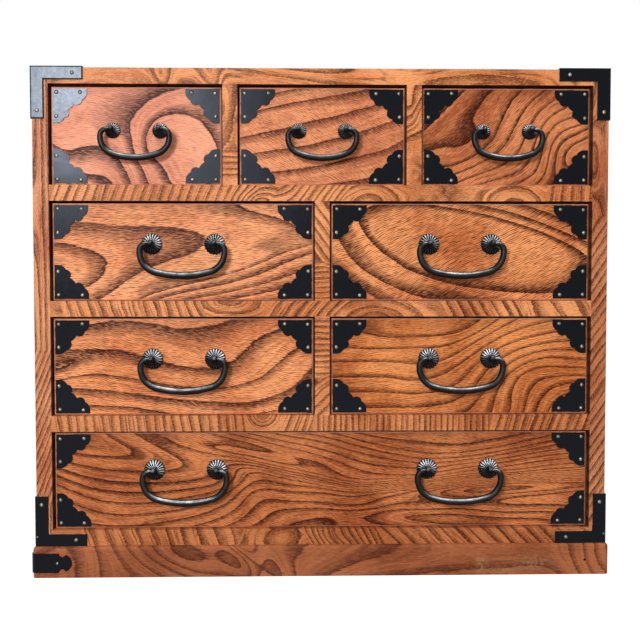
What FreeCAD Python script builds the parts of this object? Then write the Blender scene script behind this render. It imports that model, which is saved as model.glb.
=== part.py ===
"""Small tansu chest: a keyaki carcase with eight drawers, iron corner plates and bail handles.

All lengths are in millimetres.  The origin is on the floor at the middle of the plinth's
footprint, +Z is up and the drawers open towards -Y.
"""

import FreeCAD, Part
import math
import os
from types import SimpleNamespace

import Sketcher
from FreeCAD import Placement, Rotation, Vector

# Driving sizes, one spreadsheet cell each.
SIZES = {
    # carcase
    "case_width": 474.0,
    "case_height": 394.0,
    "case_depth": 300.0,
    "board_thick": 13.0,
    "shelf_thick": 13.0,
    "divider_thick": 12.3,
    "middle_opening": 139.2,
    "facing_depth": 8.0,
    "back_thick": 6.0,
    "back_rebate": 6.0,
    "shelf_housing": 4.0,
    "divider_housing": 3.0,
    # plinth
    "plinth_height": 26.0,
    "plinth_thick": 18.0,
    "plinth_overhang": 3.0,
    "plinth_round": 3.0,
    # drawers
    "front_recess": 6.0,
    "front_thick": 15.0,
    "front_rebate": 9.0,
    "front_chamfer": 1.0,
    "drawer_side_thick": 8.0,
    "drawer_back_thick": 8.0,
    "drawer_bottom_thick": 6.0,
    "drawer_back_drop": 4.0,
    "side_gap": 1.2,
    "top_gap": 1.6,
    "bottom_gap": 0.3,
    "stop_gap": 0.3,
    # iron on the carcase
    "bracket_thick": 1.0,
    "bracket_arm": 41.5,
    "bracket_width": 9.8,
    "bracket_return": 12.0,
    "strap_thick": 1.0,
    "strap_height": 16.0,
    "strap_lift": 4.5,
    "strap_band": 21.5,
    "strap_neck": 24.8,
    "strap_horn": 27.6,
    "strap_reach": 32.4,
    "strap_notch": 3.2,
    # cloud-cut plates on the drawer fronts
    "plate_size": 28.0,
    "plate_thick": 1.0,
    "plate_margin": 1.5,
    # eye posts
    "post_width": 3.2,
    "eye_radius": 3.3,
    "pin_radius": 1.5,
    "pin_clearance": 0.35,
    "pin_tip": 1.0,
    "shoulder_gap": 0.3,
    "shoulder_length": 1.2,
    "leg_reach": 9.0,
    "leg_thick": 1.2,
    "bail_standoff": 10.0,
    # small handles, top row
    "small_spacing": 39.0,
    "small_half_width": 28.1,
    "small_drop": 23.2,
    "small_cheek": 1.2,
    "small_side_radius": 14.0,
    "small_bar_radius": 2.6,
    "small_rose_radius": 6.6,
    "small_rose_height": 2.6,
    "small_bail_height": 44.7,
    # large handles, the three rows below
    "large_spacing": 52.0,
    "large_half_width": 34.7,
    "large_drop": 26.2,
    "large_cheek": 1.2,
    "large_side_radius": 17.0,
    "large_bar_radius": 2.85,
    "large_rose_radius": 8.8,
    "large_rose_height": 3.2,
    "large_bail_height": 46.7,
    "bottom_bail_height": 49.0,
    "bottom_bail_reach": 114.0,
}
ROWS = 4
FINGERS = 7      # fingers of each corner joint of the carcase, odd, the sides own both ends
FLUTES = 20      # flutes of a chrysanthemum rosette
VALLEY = 0.9     # a flute's valley as a share of its ridge's radius
DOME = [(1.0, 0.0), (1.0, 0.25), (0.72, 0.72), (0.36, 1.0)]    # shares of radius and height

# The cloud cut of a corner plate, as shares of its size: corners along and across one arm,
# then the radii of the arm's end lobe, its inner lobe and the boss on the diagonal.
CLOUD_CORNERS = [(1.0, 0.0), (1.0, 0.13), (0.857, 0.33), (0.614, 0.443)]
CLOUD_END, CLOUD_INNER, CLOUD_BOSS = 0.25, 0.15, 0.3

NOTCH_BEND = 1.2     # radius of the strap's notches, in notch depths
BLADE_BEND = 1.8     # radius of the strap's blade, in blade lengths


class Size:
    """A length that carries its number and the spreadsheet expression that gives it."""

    def __init__(self, value, text):
        self.value = value
        self.text = text

    def __add__(self, other):
        other = as_size(other)
        return Size(self.value + other.value, f"({self.text} + {other.text})")

    def __sub__(self, other):
        other = as_size(other)
        return Size(self.value - other.value, f"({self.text} - {other.text})")

    def __mul__(self, other):
        other = as_size(other)
        return Size(self.value * other.value, f"{self.text} * {other.text}")

    def __truediv__(self, other):
        other = as_size(other)
        return Size(self.value / other.value, f"{self.text} / {other.text}")

    def __neg__(self):
        return Size(-self.value, f"(0 - {self.text})")


def as_size(number):
    return number if isinstance(number, Size) else Size(float(number), repr(float(number)))


# ------------------------------------------------------------------ document and sheet

doc = FreeCAD.newDocument("SmallTansuChest")
sheet = doc.addObject("Spreadsheet::Sheet", "Sizes")
for row, (name, number) in enumerate(SIZES.items(), start=1):
    sheet.set(f"A{row}", name)
    sheet.set(f"B{row}", str(number))
    sheet.setAlias(f"B{row}", name)
doc.recompute()
s = SimpleNamespace(**{name: Size(number, f"Sizes.{name}") for name, number in SIZES.items()})

NODES = {}       # node name: the object whose shape is written

# Places that several pieces share.
half_case = s.case_width / 2
inner_x = half_case - s.board_thick
front_y = s.plinth_overhang / 2 - s.case_depth / 2
back_y = front_y + s.case_depth
carcase_y = front_y + s.facing_depth
panel_y = back_y - s.back_thick
top_z = s.plinth_height + s.case_height
row_height = (s.case_height - s.board_thick * 2 - s.shelf_thick * (ROWS - 1)) / ROWS
floor_z = [s.plinth_height + s.board_thick]
while len(floor_z) < ROWS:
    floor_z.append(floor_z[-1] + row_height + s.shelf_thick)
BOTTOM, LOWER, UPPER, TOP = floor_z


# ------------------------------------------------------------------ helpers

def bind(thing, **lengths):
    """Tie properties to the sheet; a double underscore stands for a dot in the path."""
    for path, length in lengths.items():
        thing.setExpression(path.replace("__", "."), as_size(length).text)
    return thing


def place(thing, x=0, y=0, z=0):
    return bind(thing, Placement__Base__x=x, Placement__Base__y=y, Placement__Base__z=z)


def block(name, x, y, z):
    """A box between two limits on each axis."""
    box = doc.addObject("Part::Box", name)
    bind(box, Length=x[1] - x[0], Width=y[1] - y[0], Height=z[1] - z[0])
    return place(box, x[0], y[0], z[0])


def rod(name, radius, length, turn=Rotation()):
    """A cylinder whose foot is at the origin."""
    cylinder = doc.addObject("Part::Cylinder", name)
    cylinder.Placement = Placement(Vector(), turn)
    return bind(cylinder, Radius=radius, Height=length)


def cut(name, base, *tools):
    result = doc.addObject("Part::Cut", name)
    result.Base = base
    result.Tool = tools[0] if len(tools) == 1 else group(name + "_tools", *tools)
    return result


def fuse(name, *pieces):
    result = doc.addObject("Part::MultiFuse", name)
    result.Shapes = list(pieces)
    result.Refine = True
    return result


def group(name, *pieces):
    """Several solids that stay separate, in one object."""
    result = doc.addObject("Part::Compound", name)
    result.Links = list(pieces)
    return result


def mirror_x(name, source):
    result = doc.addObject("Part::Mirroring", name)
    result.Source = source
    result.Normal = Vector(1, 0, 0)
    return result


def copy_of(name, source, x, y, z, turn=Rotation()):
    """A link to a shape that is drawn once, in a place of its own."""
    link = doc.addObject("App::Link", name)
    link.LinkedObject = source
    link.Placement = Placement(Vector(), turn)
    return place(link, x, y, z)


def keep(name, thing):
    """Name the object that becomes the node's file."""
    thing.Label = name
    NODES[name] = thing
    return thing


def edges_where(shape, test):
    return [f"Edge{i}" for i, edge in enumerate(shape.Edges, start=1) if test(edge.BoundBox)]


def origin_plane(body, role):
    return next(item for item in body.Origin.OriginFeatures if item.Role == role)


def sketch_on(body, role, name):
    sketch = body.newObject("Sketcher::SketchObject", name)
    sketch.AttachmentSupport = (origin_plane(body, role), [""])
    sketch.MapMode = "FlatFace"
    return sketch


def arc_between(start, end, radius):
    """The arc that turns left from start to end; a negative radius turns right."""
    if radius < 0:
        start, end = end, start
    chord = end - start
    reach = math.sqrt(max(radius * radius - chord.Length ** 2 / 4, 0))
    centre = (start + end) / 2 + Vector(-chord.y, chord.x, 0).normalize() * reach
    angles = [math.atan2(p.y - centre.y, p.x - centre.x) for p in (start, end)]
    return Part.ArcOfCircle(Part.Circle(centre, Vector(0, 0, 1), abs(radius)), *angles)


def outline(sketch, corners, radii):
    """A closed line through corners; radii[i] bends the side after corner i, None is straight.

    Every corner is tied to the sheet in x and y, and every arc in its radius.
    """
    points = [Vector(x.value, y.value, 0) for x, y in corners]
    count = len(points)
    starts = []
    for i, radius in enumerate(radii):
        start, end = points[i], points[(i + 1) % count]
        if radius is None:
            sketch.addGeometry(Part.LineSegment(start, end))
        else:
            sketch.addGeometry(arc_between(start, end, radius.value))
        flipped = radius is not None and radius.value < 0
        starts.append((2, 1) if flipped else (1, 2))
    for i in range(count):
        after = (i + 1) % count
        sketch.addConstraint(Sketcher.Constraint("Coincident", i, starts[i][1], after, starts[after][0]))
    for i, (x, y) in enumerate(corners):
        for kind, length in (("DistanceX", x), ("DistanceY", y)):
            spot = sketch.addConstraint(
                Sketcher.Constraint(kind, -1, 1, i, starts[i][0], length.value))
            sketch.setExpression(f"Constraints[{spot}]", length.text)
        if radii[i] is not None:
            bend = radii[i] if radii[i].value > 0 else -radii[i]
            spot = sketch.addConstraint(Sketcher.Constraint("Radius", i, bend.value))
            sketch.setExpression(f"Constraints[{spot}]", bend.text)
    return sketch


def rectangle(sketch, width, height):
    """A rectangle with one corner on the sketch's origin."""
    zero = as_size(0)
    corners = [(zero, zero), (width, zero), (width, height), (zero, height)]
    return outline(sketch, corners, [None] * 4)


def pad(body, name, sketch, length):
    feature = body.newObject("PartDesign::Pad", name)
    feature.Profile = sketch
    bind(feature, Length=length)
    doc.recompute()
    return feature


# ------------------------------------------------------------------ carcase boards

def finger_notches(name, z):
    """Spaces at both ends of a top or bottom board for the side boards' fingers."""
    step = (back_y - carcase_y) / FINGERS
    notches = []
    for i in range(0, FINGERS, 2):
        y = (carcase_y + step * i, carcase_y + step * (i + 1))
        for side, x in (("left", (-half_case, -inner_x)), ("right", (inner_x, half_case))):
            notches.append(block(f"{name}_{side}_{i}", x, y, z))
    return notches


def carcase():
    width = (-half_case, half_case)
    depth = (carcase_y, back_y)
    bottom = (s.plinth_height, s.plinth_height + s.board_thick)
    top = (top_z - s.board_thick, top_z)

    back = keep("case_back", block(
        "back_panel", (-(inner_x + s.back_rebate), inner_x + s.back_rebate), (panel_y, back_y),
        (bottom[1] - s.back_rebate, top[0] + s.back_rebate)))

    def divider(name, x, floor):
        z = (floor - s.divider_housing, floor + row_height + s.divider_housing)
        return block(name, x, (carcase_y, panel_y), z)

    edge = s.middle_opening / 2
    centre = (-s.divider_thick / 2, s.divider_thick / 2)
    top_dividers = keep("top_row_dividers", group(
        "top_pair",
        divider("top_divider_left", (-(edge + s.divider_thick), -edge), TOP),
        divider("top_divider_right", (edge, edge + s.divider_thick), TOP)))
    centre_dividers = keep("centre_dividers", group(
        "centre_pair",
        divider("lower_divider", centre, LOWER),
        divider("upper_divider", centre, UPPER)))

    shelves = []
    for name, floor in (("lower_shelf", LOWER), ("middle_shelf", UPPER), ("upper_shelf", TOP)):
        blank = block(
            name + "_board", (-(inner_x + s.shelf_housing), inner_x + s.shelf_housing),
            (carcase_y, panel_y), (floor - s.shelf_thick, floor))
        tools = [top_dividers, centre_dividers] if name == "upper_shelf" else [centre_dividers]
        keep(name, cut(name + "_housed", blank, *tools))
        shelves.append(blank)

    floor_board = keep("case_bottom", cut(
        "bottom_jointed", block("bottom_board", width, depth, bottom),
        back, *finger_notches("bottom_notch", bottom)))
    top_board = keep("case_top", cut(
        "top_jointed", block("top_board", width, depth, top),
        back, top_dividers, *finger_notches("top_notch", top)))

    for name, x in (("left", (-half_case, -inner_x)), ("right", (inner_x, half_case))):
        board = block(f"{name}_board", x, depth, (s.plinth_height, top_z))
        keep(f"case_{name}_side", cut(
            f"{name}_jointed", board, back, top_board, floor_board, *shelves))


def facings():
    """Strips glued over the front edges of the boards: stiles run through, the rest butts."""
    y = (front_y, carcase_y)
    stile = block("stile_left", (-half_case, -inner_x), y, (s.plinth_height, top_z))
    stile_right = block("stile_right", (inner_x, half_case), y, (s.plinth_height, top_z))
    keep("stile_facings", group("stiles", stile, stile_right))

    across = (-inner_x, inner_x)
    rails = [block("rail_bottom", across, y, (s.plinth_height, BOTTOM))]
    for name, floor in (("lower", LOWER), ("middle", UPPER), ("upper", TOP)):
        rails.append(block(f"rail_{name}", across, y, (floor - s.shelf_thick, floor)))
    rails.append(block("rail_top", across, y, (top_z - s.board_thick, top_z)))
    keep("rail_facings", group("rails", *rails))

    edge = s.middle_opening / 2
    centre = (-s.divider_thick / 2, s.divider_thick / 2)
    spots = [
        ("top_left", (-(edge + s.divider_thick), -edge), TOP),
        ("top_right", (edge, edge + s.divider_thick), TOP),
        ("upper", centre, UPPER),
        ("lower", centre, LOWER),
    ]
    strips = [block(f"muntin_{n}", x, y, (floor, floor + row_height)) for n, x, floor in spots]
    keep("divider_facings", group("muntins", *strips))


# ------------------------------------------------------------------ plinth

def rounded_board(name, width, depth, height, test):
    """A board from a padded rectangle; test picks the edges to round from their boxes."""
    body = doc.addObject("PartDesign::Body", name)
    sketch = rectangle(sketch_on(body, "XY_Plane", name + "_plan"), width, depth)
    board = pad(body, name + "_pad", sketch, height)
    fillet = body.newObject("PartDesign::Fillet", name + "_round")
    fillet.Base = (board, edges_where(board.Shape, test))
    bind(fillet, Radius=s.plinth_round)
    return body


def plinth():
    half = half_case + s.plinth_overhang
    start_y = front_y - s.plinth_overhang
    near = 0.01

    def front_edges(box):
        """The top front edge, the two front corners and the top edge of each end."""
        on_top = box.ZMin > s.plinth_height.value - near
        at_end = box.XLength < near
        in_front = box.YMax < near
        return (in_front and (on_top or at_end)) or (on_top and at_end)

    def side_edges(box):
        return box.ZMin > s.plinth_height.value - near and box.XMax < near

    front = rounded_board("front_plinth", half * 2, s.plinth_thick, s.plinth_height, front_edges)
    keep("plinth_front", place(front, -half, start_y))

    side_y = start_y + s.plinth_thick
    side = rounded_board(
        "left_plinth", s.plinth_thick, back_y - side_y, s.plinth_height, side_edges)
    place(side, -half, side_y)
    rear = block(
        "rear_plinth", (-(half - s.plinth_thick), half - s.plinth_thick),
        (back_y - s.plinth_thick, back_y), (as_size(0), s.plinth_height))
    keep("plinth_returns", group("returns", side, mirror_x("right_plinth", side), rear))


# ------------------------------------------------------------------ iron on the carcase

def corner_brackets():
    """L-shaped irons on the four front corners, folded round the side and, above, the top."""
    skin = s.bracket_thick
    outer_x = -(half_case + skin)
    face = (front_y - skin, front_y)
    fold = (front_y - skin, front_y + s.bracket_return)
    long_x = (outer_x, -half_case + s.bracket_arm)
    short_x = (outer_x, -half_case + s.bracket_width)

    top_long = (top_z - s.bracket_arm, top_z + skin)
    top_left = fuse(
        "bracket_top_left",
        block("top_arm_across", long_x, face, (top_z - s.bracket_width, top_z + skin)),
        block("top_arm_down", short_x, face, top_long),
        block("top_fold_over", long_x, fold, (top_z, top_z + skin)),
        block("top_fold_side", (outer_x, -half_case), fold, top_long))

    foot = s.plinth_height
    foot_long = (foot, foot + s.bracket_arm)
    foot_left = fuse(
        "bracket_foot_left",
        block("foot_arm_across", long_x, face, (foot, foot + s.bracket_width)),
        block("foot_arm_up", short_x, face, foot_long),
        block("foot_fold_side", (outer_x, -half_case), fold, foot_long))

    keep("corner_brackets", group(
        "brackets", top_left, mirror_x("bracket_top_right", top_left),
        foot_left, mirror_x("bracket_foot_right", foot_left)))


def plinth_strap():
    """A band round the plinth's left corner with an axe-shaped end on each arm."""
    corner_x = -(half_case + s.plinth_overhang)
    corner_y = front_y - s.plinth_overhang
    tall = s.strap_height
    middle = tall / 2
    body = doc.addObject("PartDesign::Body", "strap_arm")
    corners = [
        (s.plinth_round, as_size(0)),
        (s.strap_band, as_size(0)),
        (s.strap_neck, s.strap_notch),
        (s.strap_horn, s.strap_notch / 3),
        (s.strap_reach, middle),
        (s.strap_horn, tall - s.strap_notch / 3),
        (s.strap_neck, tall - s.strap_notch),
        (s.strap_band, tall),
        (s.plinth_round, tall),
    ]
    bow = (s.strap_reach - s.strap_horn) * BLADE_BEND
    notch = -s.strap_notch * NOTCH_BEND
    radii = [None, notch, None, bow, bow, None, notch, None, None]
    sketch = outline(sketch_on(body, "XZ_Plane", "strap_outline"), corners, radii)
    pad(body, "strap_pad", sketch, s.strap_thick)
    place(body, corner_x, corner_y, s.strap_lift)

    side = doc.addObject("Part::Mirroring", "strap_arm_side")
    side.Source = body
    side.Normal = Vector(1, -1, 0)
    bind(side, Base__x=corner_x, Base__y=corner_y)

    quarter = Rotation(Vector(0, 0, 1), 180)
    outer = rod("strap_bend_outer", s.plinth_round + s.strap_thick, tall, quarter)
    inner = rod("strap_bend_inner", s.plinth_round, tall, quarter)
    for cylinder in (outer, inner):
        cylinder.Angle = 90
        place(cylinder, corner_x + s.plinth_round, corner_y + s.plinth_round, s.strap_lift)
    keep("plinth_strap", fuse("strap", body, side, cut("strap_bend", outer, inner)))


# ------------------------------------------------------------------ drawer iron, drawn once

def cloud_plate():
    """A corner plate whose inner edge is cut in lobes, the same on both sides of its diagonal.

    Its outer corner is at the origin, one arm runs to +X and the other to -Z.
    """
    size = s.plate_size
    zero = as_size(0)
    arm = [(size * along, size * across) for along, across in CLOUD_CORNERS]
    corners = [(zero, zero)] + [(y, -x) for x, y in arm] + [(x, -y) for x, y in reversed(arm)]
    end_lobe, inner_lobe, boss = size * CLOUD_END, size * CLOUD_INNER, size * CLOUD_BOSS
    radii = [None, None, end_lobe, inner_lobe, boss, inner_lobe, end_lobe, None, None]
    body = doc.addObject("PartDesign::Body", "cloud_plate")
    sketch = outline(sketch_on(body, "XZ_Plane", "cloud_outline"), corners, radii)
    pad(body, "cloud_pad", sketch, s.plate_thick)
    return body


def fluted_rose(name, radius, height):
    """A low dome of V-shaped flutes: a ruled loft through scalloped rings, base to crown."""
    wires = []
    for spread, lift in DOME:
        points = []
        for i in range(2 * FLUTES):
            reach = radius.value * spread * (VALLEY if i % 2 else 1.0)
            angle = math.pi * i / FLUTES
            y = s.bail_standoff.value - height.value * lift
            points.append(Vector(reach * math.cos(angle), y, reach * math.sin(angle)))
        wires.append(Part.makePolygon(points + points[:1]))
    rose = doc.addObject("Part::Feature", name)
    rose.Shape = Part.makeLoft(wires, True, True)
    return rose


def handle_mount(kind, radius, height):
    """A rosette and the split eye post through it, with the eye's axis at the origin.

    The post is a folded strip: a round eye, a square shank through the drawer front and
    two legs clenched flat against the inner face.
    """
    half = s.post_width / 2
    inside = s.bail_standoff + s.front_thick
    along_x = Rotation(Vector(0, 1, 0), 90)
    eye = place(rod(f"{kind}_eye", s.eye_radius, s.post_width, along_x), -half)
    hole = place(rod(f"{kind}_eye_hole", s.pin_radius + s.pin_clearance, s.post_width, along_x), -half)
    shank = block(f"{kind}_shank", (-half, half), (as_size(0), inside), (-half, half))
    legs = block(
        f"{kind}_legs", (-half, half), (inside, inside + s.leg_thick), (-s.leg_reach, s.leg_reach))
    post = cut(f"{kind}_post", fuse(f"{kind}_strip", eye, shank, legs), hole)
    rose = cut(f"{kind}_rose", fluted_rose(f"{kind}_dome", radius, height), shank)
    return group(f"{kind}_mount", rose, post)


def bail(kind, spacing, half_width, drop, cheek, side_radius, bar_radius):
    """A hanging bail whose thin ends turn in through the eyes, with their axis on X.

    The bar's line is two curls, two short cheeks, two side bends and one wide bottom bend,
    each tangent to the next.
    """
    shoulder = (spacing + s.post_width) / 2 + s.shoulder_gap
    start = shoulder + s.shoulder_length
    curl = half_width - start
    body = doc.addObject("PartDesign::Body", f"{kind}_bail")

    # Places on the right half; the sketch's y is the body's Z.
    c, w, side = curl.value, half_width.value, side_radius.value
    low = -(c + cheek.value)
    reach, depth = w - side, drop.value + low
    wide = (reach ** 2 + depth ** 2 - side ** 2) / (2 * (depth - side))
    wide_y = wide - drop.value
    slope = math.atan2(low - wide_y, reach)

    def bend(x, y, radius, start_angle, end_angle):
        circle = Part.Circle(Vector(x, y, 0), Vector(0, 0, 1), radius)
        return Part.ArcOfCircle(circle, start_angle, end_angle)

    path = sketch_on(body, "XZ_Plane", f"{kind}_line")
    path.addGeometry([
        bend(w - c, -c, c, 0, math.pi / 2),
        Part.LineSegment(Vector(w, -c, 0), Vector(w, low, 0)),
        bend(reach, low, side, slope, 0),
        bend(0, wide_y, wide, -math.pi - slope, slope),
        bend(-reach, low, side, math.pi, math.pi - slope),
        Part.LineSegment(Vector(-w, low, 0), Vector(-w, -c, 0)),
        bend(-w + c, -c, c, math.pi / 2, math.pi),
    ])
    joins = [(0, 1, 1, 1), (1, 2, 2, 2), (2, 1, 3, 2), (3, 1, 4, 2), (4, 1, 5, 1), (5, 2, 6, 2)]
    for a, a_end, b, b_end in joins:
        path.addConstraint(Sketcher.Constraint("Tangent", a, a_end, b, b_end))
    for line in (1, 5):
        path.addConstraint(Sketcher.Constraint("Vertical", line))
    ties = [
        ("DistanceX", (-1, 1, 0, 2), start),
        ("DistanceX", (6, 1, -1, 1), start),
        ("DistanceY", (-1, 1, 0, 2), as_size(0)),
        ("DistanceY", (-1, 1, 6, 1), as_size(0)),
        ("Radius", (0,), curl),
        ("Radius", (6,), curl),
        ("DistanceY", (1, 2, 1, 1), cheek),
        ("DistanceY", (5, 1, 5, 2), cheek),
        ("Radius", (2,), side_radius),
        ("Radius", (4,), side_radius),
    ]
    for kind_of, where, length in ties:
        spot = path.addConstraint(Sketcher.Constraint(kind_of, *where, length.value))
        path.setExpression(f"Constraints[{spot}]", length.text)
    path.addConstraint(Sketcher.Constraint("PointOnObject", 3, 3, -2))
    # The wide bend's foot is a construction point on the Z axis.
    path.addGeometry(Part.Point(Vector(0, -drop.value, 0)))
    path.toggleConstruction(7)
    path.addConstraint(Sketcher.Constraint("PointOnObject", 7, 1, 3))
    path.addConstraint(Sketcher.Constraint("PointOnObject", 7, 1, -2))
    spot = path.addConstraint(Sketcher.Constraint("DistanceY", 7, 1, -1, 1, drop.value))
    path.setExpression(f"Constraints[{spot}]", drop.text)

    section = sketch_on(body, "YZ_Plane", f"{kind}_bar_section")
    section.addGeometry(Part.Circle(Vector(), Vector(0, 0, 1), bar_radius.value))
    section.addConstraint(Sketcher.Constraint("Coincident", 0, 3, -1, 1))
    spot = section.addConstraint(Sketcher.Constraint("Radius", 0, bar_radius.value))
    section.setExpression(f"Constraints[{spot}]", bar_radius.text)
    bind(section, AttachmentOffset__Base__z=start)
    doc.recompute()

    bar = body.newObject("PartDesign::AdditivePipe", f"{kind}_bar")
    bar.Profile = section
    bar.Spine = (path, [f"Edge{i}" for i in range(1, 8)])
    doc.recompute()

    zero = as_size(0)
    tip = spacing / 2 - s.post_width / 2 - s.pin_tip
    ends = [
        (tip, zero), (start, zero), (start, bar_radius), (shoulder, s.pin_radius), (tip, s.pin_radius)
    ]
    profile = outline(sketch_on(body, "XZ_Plane", f"{kind}_pin_profile"), ends, [None] * 5)
    pin = body.newObject("PartDesign::Revolution", f"{kind}_pin")
    pin.Profile = profile
    pin.ReferenceAxis = (profile, ["H_Axis"])
    pin.Angle = 360
    doc.recompute()
    twin = body.newObject("PartDesign::Mirrored", f"{kind}_pin_twin")
    twin.Originals = [pin]
    twin.MirrorPlane = (origin_plane(body, "YZ_Plane"), [""])
    body.Tip = twin
    doc.recompute()
    return body


# ------------------------------------------------------------------ drawers

def drawer(name, x, floor, bails, hardware):
    """One drawer in its opening; bails is a list of (node name, middle x, axis height)."""
    plate, mount, handle, spacing = hardware
    left, right = x[0] + s.side_gap, x[1] - s.side_gap
    low, high = floor + s.bottom_gap, floor + row_height - s.top_gap
    face = front_y + s.front_recess
    inside = face + s.front_thick
    end = panel_y - s.stop_gap
    under = low + s.drawer_bottom_thick
    lap = inside - s.front_rebate

    body = doc.addObject("PartDesign::Body", name + "_face_board")
    sketch = rectangle(sketch_on(body, "XZ_Plane", name + "_face"), right - left, high - low)
    board = pad(body, name + "_face_pad", sketch, s.front_thick)
    flat = min(range(len(board.Shape.Faces)), key=lambda i: board.Shape.Faces[i].CenterOfMass.y)
    chamfer = body.newObject("PartDesign::Chamfer", name + "_face_chamfer")
    chamfer.Base = (board, [f"Face{flat + 1}"])
    bind(chamfer, Size=s.front_chamfer)
    place(body, left, inside, low)

    side = s.drawer_side_thick
    left_side = block(name + "_left_board", (left, left + side), (lap, end), (under, high))
    right_side = block(name + "_right_board", (right - side, right), (lap, end), (under, high))
    bottom = block(name + "_bottom_board", (left, right), (lap, end), (low, under))
    back = block(
        name + "_back_board", (left + side, right - side), (end - s.drawer_back_thick, end),
        (under, high - s.drawer_back_drop))
    keep(name + "_drawer_box", group(name + "_box", left_side, right_side, bottom, back))

    mounts = []
    for bail_name, middle, height in bails:
        spot = (middle, face - s.bail_standoff, low + height)
        for hand, offset in (("left", -spacing / 2), ("right", spacing / 2)):
            mounts.append(copy_of(f"{bail_name}_{hand}_mount", mount, spot[0] + offset, *spot[1:]))
        keep(bail_name, group(bail_name + "_hung", copy_of(bail_name + "_copy", handle, *spot)))
    mounts = keep(name + "_handle_mounts", group(name + "_mounts", *mounts))
    keep(name + "_drawer_front", cut(
        name + "_front", body, left_side, right_side, bottom, mounts))

    near, far = left + s.plate_margin, right - s.plate_margin
    down, up = low + s.plate_margin, high - s.plate_margin
    corners = [(near, up), (far, up), (far, down), (near, down)]
    plates = [
        copy_of(f"{name}_plate_{i}", plate, px, face, pz, Rotation(Vector(0, 1, 0), 90 * i))
        for i, (px, pz) in enumerate(corners)
    ]
    keep(name + "_corner_plates", group(name + "_plates", *plates))


def drawers():
    plate = cloud_plate()
    small = (
        plate,
        handle_mount("small", s.small_rose_radius, s.small_rose_height),
        bail("small", s.small_spacing, s.small_half_width, s.small_drop, s.small_cheek,
             s.small_side_radius, s.small_bar_radius),
        s.small_spacing)
    large = (
        plate,
        handle_mount("large", s.large_rose_radius, s.large_rose_height),
        bail("large", s.large_spacing, s.large_half_width, s.large_drop, s.large_cheek,
             s.large_side_radius, s.large_bar_radius),
        s.large_spacing)

    edge = s.middle_opening / 2
    half_divider = s.divider_thick / 2
    left_third = (-inner_x, -(edge + s.divider_thick))
    right_third = (edge + s.divider_thick, inner_x)
    left_half = (-inner_x, -half_divider)
    right_half = (half_divider, inner_x)

    spots = [
        ("top_left", left_third, TOP, small, s.small_bail_height),
        ("top_middle", (-edge, edge), TOP, small, s.small_bail_height),
        ("top_right", right_third, TOP, small, s.small_bail_height),
        ("upper_left", left_half, UPPER, large, s.large_bail_height),
        ("upper_right", right_half, UPPER, large, s.large_bail_height),
        ("lower_left", left_half, LOWER, large, s.large_bail_height),
        ("lower_right", right_half, LOWER, large, s.large_bail_height),
    ]
    for name, x, floor, hardware, height in spots:
        bails = [(name + "_bail", (x[0] + x[1]) / 2, height)]
        drawer(name, x, floor, bails, hardware)

    reach, height = s.bottom_bail_reach, s.bottom_bail_height
    pair = [("bottom_left_bail", -reach, height), ("bottom_right_bail", reach, height)]
    drawer("bottom", (-inner_x, inner_x), BOTTOM, pair, large)


# ------------------------------------------------------------------ build, check and write

def check():
    """Stop with the names of what failed before anything is written."""
    bad = [o.Name for o in doc.Objects if "Invalid" in o.State or "Error" in o.State]
    for name, thing in NODES.items():
        shape = thing.Shape
        if shape.isNull() or not shape.isValid() or not shape.Solids:
            bad.append(name)
    if bad:
        raise RuntimeError("not built: " + ", ".join(bad))


def main():
    carcase()
    facings()
    plinth()
    corner_brackets()
    plinth_strap()
    drawers()
    doc.recompute()
    check()
    os.makedirs("parts", exist_ok=True)
    for name, thing in NODES.items():
        thing.Shape.exportStep(f"parts/{name}.step")
    print(len(NODES), "nodes,", sum(len(t.Shape.Solids) for t in NODES.values()), "solids")


main()
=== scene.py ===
"""A small keyaki chest of eight drawers with black ironwork, dressed round its CAD frame.

Lengths are in millimetres where a name or table says so, and MM turns them into metres.
"""

import math

import bpy
import numpy as np
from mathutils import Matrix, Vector


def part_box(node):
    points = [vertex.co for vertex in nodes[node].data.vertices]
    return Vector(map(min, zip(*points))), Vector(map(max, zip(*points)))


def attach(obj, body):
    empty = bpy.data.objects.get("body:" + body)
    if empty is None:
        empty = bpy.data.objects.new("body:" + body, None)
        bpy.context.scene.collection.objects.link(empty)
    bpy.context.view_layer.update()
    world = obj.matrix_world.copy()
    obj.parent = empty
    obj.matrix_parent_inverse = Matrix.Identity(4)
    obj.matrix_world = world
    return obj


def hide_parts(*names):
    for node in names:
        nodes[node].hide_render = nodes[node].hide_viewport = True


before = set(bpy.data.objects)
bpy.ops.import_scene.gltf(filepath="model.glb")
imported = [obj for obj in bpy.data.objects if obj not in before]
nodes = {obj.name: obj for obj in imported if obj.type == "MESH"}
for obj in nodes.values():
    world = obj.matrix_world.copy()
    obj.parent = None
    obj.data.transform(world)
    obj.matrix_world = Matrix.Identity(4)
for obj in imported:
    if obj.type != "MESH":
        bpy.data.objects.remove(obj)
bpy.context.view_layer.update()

MM = 0.001
rng = np.random.default_rng(7)


# ------------------------------------------------------------------ shader tools

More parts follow.
